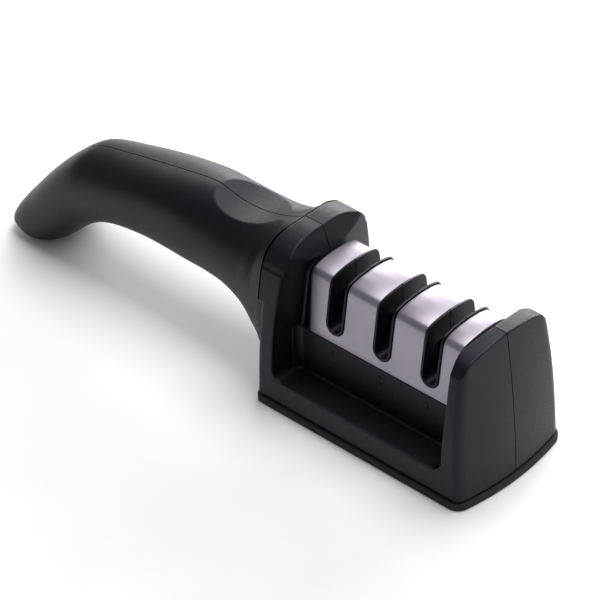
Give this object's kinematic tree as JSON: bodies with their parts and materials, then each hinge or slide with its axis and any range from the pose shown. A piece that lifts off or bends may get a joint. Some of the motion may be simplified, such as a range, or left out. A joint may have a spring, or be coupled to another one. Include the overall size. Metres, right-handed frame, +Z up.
{
  "type": "knife sharpener",
  "caption": "Handheld pull-through knife sharpener: arched grip with a hooked end, a head with a steel-covered saddle cut by cross slots between side recesses, and a rubber base pad.",
  "frame": {"origin": "centre plane of the body at the middle of the head's foot, on the rubber pad's rest face", "axes": "+X from the handle towards the nose, +Y to the left of someone holding the handle and looking at the nose, +Z up"},
  "size_m": [0.2092, 0.05, 0.057],
  "materials": {
    "body_plastic": "fine moulded texture, satin",
    "inner_plastic": "plain moulded",
    "pad_rubber": "matt",
    "cover_steel": "stainless sheet, brushed along the head",
    "screw_steel": "zinc plated",
    "diamond_coating": "grit bonded to a steel rod",
    "carbide": "ground",
    "ceramic": "fine ground"
  },
  "bodies": {
    "root": {"right_shell": "body_plastic", "left_shell": "body_plastic", "steel_cover": "cover_steel", "base_plate": "inner_plastic", "base_pad": "pad_rubber", "base_screw_1": "screw_steel", "base_screw_2": "screw_steel", "base_screw_3": "screw_steel", "base_screw_4": "screw_steel", "handle_screw_1": "screw_steel", "handle_screw_2": "screw_steel", "stage_1_holder": "inner_plastic", "stage_2_holder": "inner_plastic", "stage_3_holder": "inner_plastic", "stage_1_diamond_rod_a": "diamond_coating", "stage_2_carbide_blade_a": "carbide", "stage_3_ceramic_rod_a": "ceramic", "stage_1_diamond_rod_b": "diamond_coating", "stage_2_carbide_blade_b": "carbide", "stage_3_ceramic_rod_b": "ceramic"}
  },
  "joints": []
}
